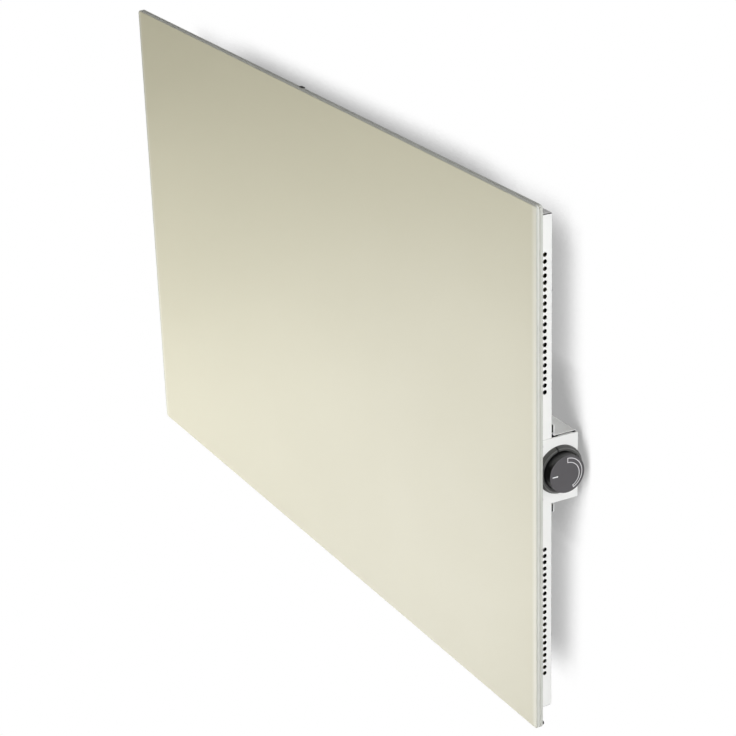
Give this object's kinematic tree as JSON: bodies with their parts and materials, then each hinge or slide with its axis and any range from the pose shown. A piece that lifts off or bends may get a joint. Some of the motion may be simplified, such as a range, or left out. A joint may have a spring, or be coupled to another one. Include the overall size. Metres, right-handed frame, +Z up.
{
  "type": "infrared panel heater",
  "caption": "Flat glass infrared panel heater on a white steel case with wall rails; a side control box carries a rotary thermostat knob and a cable gland.",
  "frame": {"origin": "in the wall's surface, at the centre of the four wall screw holes in the two wall rails", "axes": "+X along the panel to the right seen from the room, towards the control knob; +Y into the wall; +Z up"},
  "size_m": [1.0026, 0.067, 0.6006],
  "materials": {
    "pane_glass": "polished, coated pale cream behind",
    "bond_film": "clear interlayer",
    "carbon_film": "printed carbon",
    "copper": "rolled copper strip",
    "brass": "turned brass",
    "tinned_copper": "tinned",
    "zinc_steel": "zinc plated",
    "stainless": "satin",
    "seal": "dark grey silicone",
    "white_paint": "white powder coat, satin",
    "foil_board": "foil faced",
    "mineral_mat": "mineral fibre",
    "phenolic": "moulded phenolic",
    "barrier": "heat barrier sheet",
    "black_plastic": "fine moulded texture",
    "knob_plastic": "satin dark grey cap",
    "mark_print": "pale print",
    "terminal_plastic": "polyamide",
    "bumper_rubber": "soft stick-on dot",
    "copper_bulb": "drawn copper",
    "live_insulation": "brown silicone",
    "neutral_insulation": "blue silicone",
    "earth_insulation": "green with yellow stripes",
    "link_insulation": "white silicone"
  },
  "bodies": {
    "heater": {"glass_front": "pane_glass", "bond_layer": "bond_film", "heating_film": "carbon_film", "busbars": "copper", "rear_pane": "pane_glass", "contact_posts": "brass", "ring_lugs": "tinned_copper", "contact_nuts": "brass", "silicone_bead": "seal", "case_frame": "white_paint", "rear_cover": "white_paint", "cover_screws": "zinc_steel", "reflector_board": "foil_board", "insulation_mat": "mineral_mat", "overheat_cutouts": "phenolic", "top_edge_clip": "stainless", "corner_bumpers": "bumper_rubber", "box_gasket": "barrier", "control_box": "white_paint", "box_screws": "zinc_steel", "box_end_cap": "white_paint", "cap_screws": "zinc_steel", "control_plate": "white_paint", "plate_screws": "zinc_steel", "thermostat_body": "phenolic", "thermostat_blades": "brass", "thermostat_bush": "brass", "thermostat_screws": "zinc_steel", "dial_collar": "black_plastic", "sensor_bulb": "copper_bulb", "capillary_tube": "copper_bulb", "bulb_clips": "stainless", "clip_screws": "zinc_steel", "terminal_block": "terminal_plastic", "terminal_screws": "zinc_steel", "block_screw": "zinc_steel", "earth_stud": "brass", "earth_nuts": "brass", "earth_lug": "tinned_copper", "wire_grommet": "barrier", "cable_gland": "black_plastic", "gland_dome": "black_plastic", "gland_locknut": "black_plastic", "hanging_rail": "zinc_steel", "hanging_rail_screws": "zinc_steel", "wall_rail_upper": "zinc_steel", "wall_rail_lower": "zinc_steel", "lock_screw": "stainless", "rail_pads": "bumper_rubber", "live_in_wire": "live_insulation", "live_out_wire": "live_insulation", "neutral_wire": "neutral_insulation", "earth_wire": "earth_insulation", "upper_link_wire": "link_insulation", "lower_link_wire": "link_insulation"},
    "knob": {"thermostat_shaft": "stainless", "control_knob": "knob_plastic", "dial_marks": "mark_print", "knob_clip": "stainless"}
  },
  "joints": [
    {"name": "thermostat_turn", "type": "hinge", "parent": "heater", "child": "knob", "pos_m": [0.4875, -0.0305, 0], "axis": [1, 0, 0], "range_deg": [-90, 150]}
  ]
}
